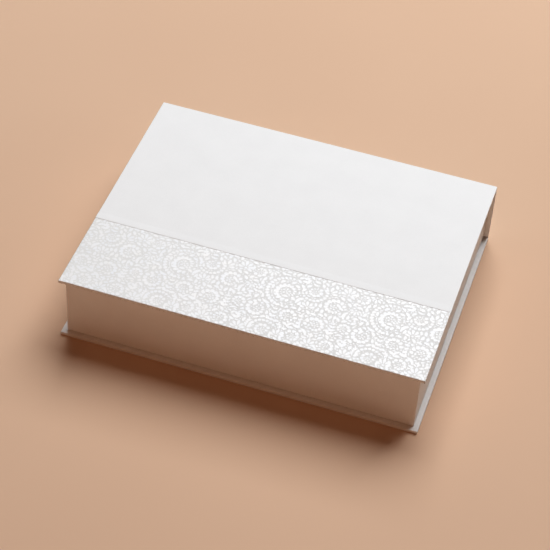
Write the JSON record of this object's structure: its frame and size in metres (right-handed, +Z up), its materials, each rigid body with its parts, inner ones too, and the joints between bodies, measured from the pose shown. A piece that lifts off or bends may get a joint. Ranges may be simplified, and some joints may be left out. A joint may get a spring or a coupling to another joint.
{
  "type": "wedding card box",
  "caption": "Flat rectangular book-style keepsake box: a shallow card tray glued into a hinged case whose lid opens about the back edge and has a damask band along its front",
  "frame": {"origin": "on the table, under the centre of the closed box", "axes": "+X along the hinge, to the right as seen from the opening side; +Y from the opening side to the spine; +Z up"},
  "size_m": [0.3, 0.235, 0.062],
  "materials": {
    "greyboard": "matt solid greyboard",
    "cover_paper": "smooth matt white covering paper",
    "band_paper": "pale grey paper with a raised pearl white damask",
    "lining_paper": "smooth matt off-white paper",
    "kraft_tape": "brown gummed kraft tape",
    "magnet": "nickel-plated bar magnet"
  },
  "bodies": {
    "tray": {"base_board": "greyboard", "base_cover_paper": "cover_paper", "spine_board": "greyboard", "spine_cover_paper": "cover_paper", "spine_lining": "lining_paper", "lower_hinge_strip": "cover_paper", "upper_hinge_strip": "cover_paper", "tray_floor_board": "greyboard", "tray_front_wall": "greyboard", "tray_back_wall": "greyboard", "tray_left_wall": "greyboard", "tray_right_wall": "greyboard", "front_left_stay": "kraft_tape", "front_right_stay": "kraft_tape", "back_left_stay": "kraft_tape", "back_right_stay": "kraft_tape", "tray_magnet_left": "magnet", "tray_magnet_right": "magnet", "tray_wrap_paper": "cover_paper", "tray_wall_lining": "lining_paper", "tray_floor_lining": "lining_paper"},
    "lid": {"lid_board": "greyboard", "lid_cover_paper": "cover_paper", "damask_band_paper": "band_paper", "lid_lining": "lining_paper", "lid_magnet_left": "magnet", "lid_magnet_right": "magnet"}
  },
  "joints": [
    {"name": "lid_hinge", "type": "hinge", "parent": "tray", "child": "lid", "pos_m": [0, 0.1175, 0.062], "axis": [-1, 0, 0], "range_deg": [0, 195]}
  ]
}
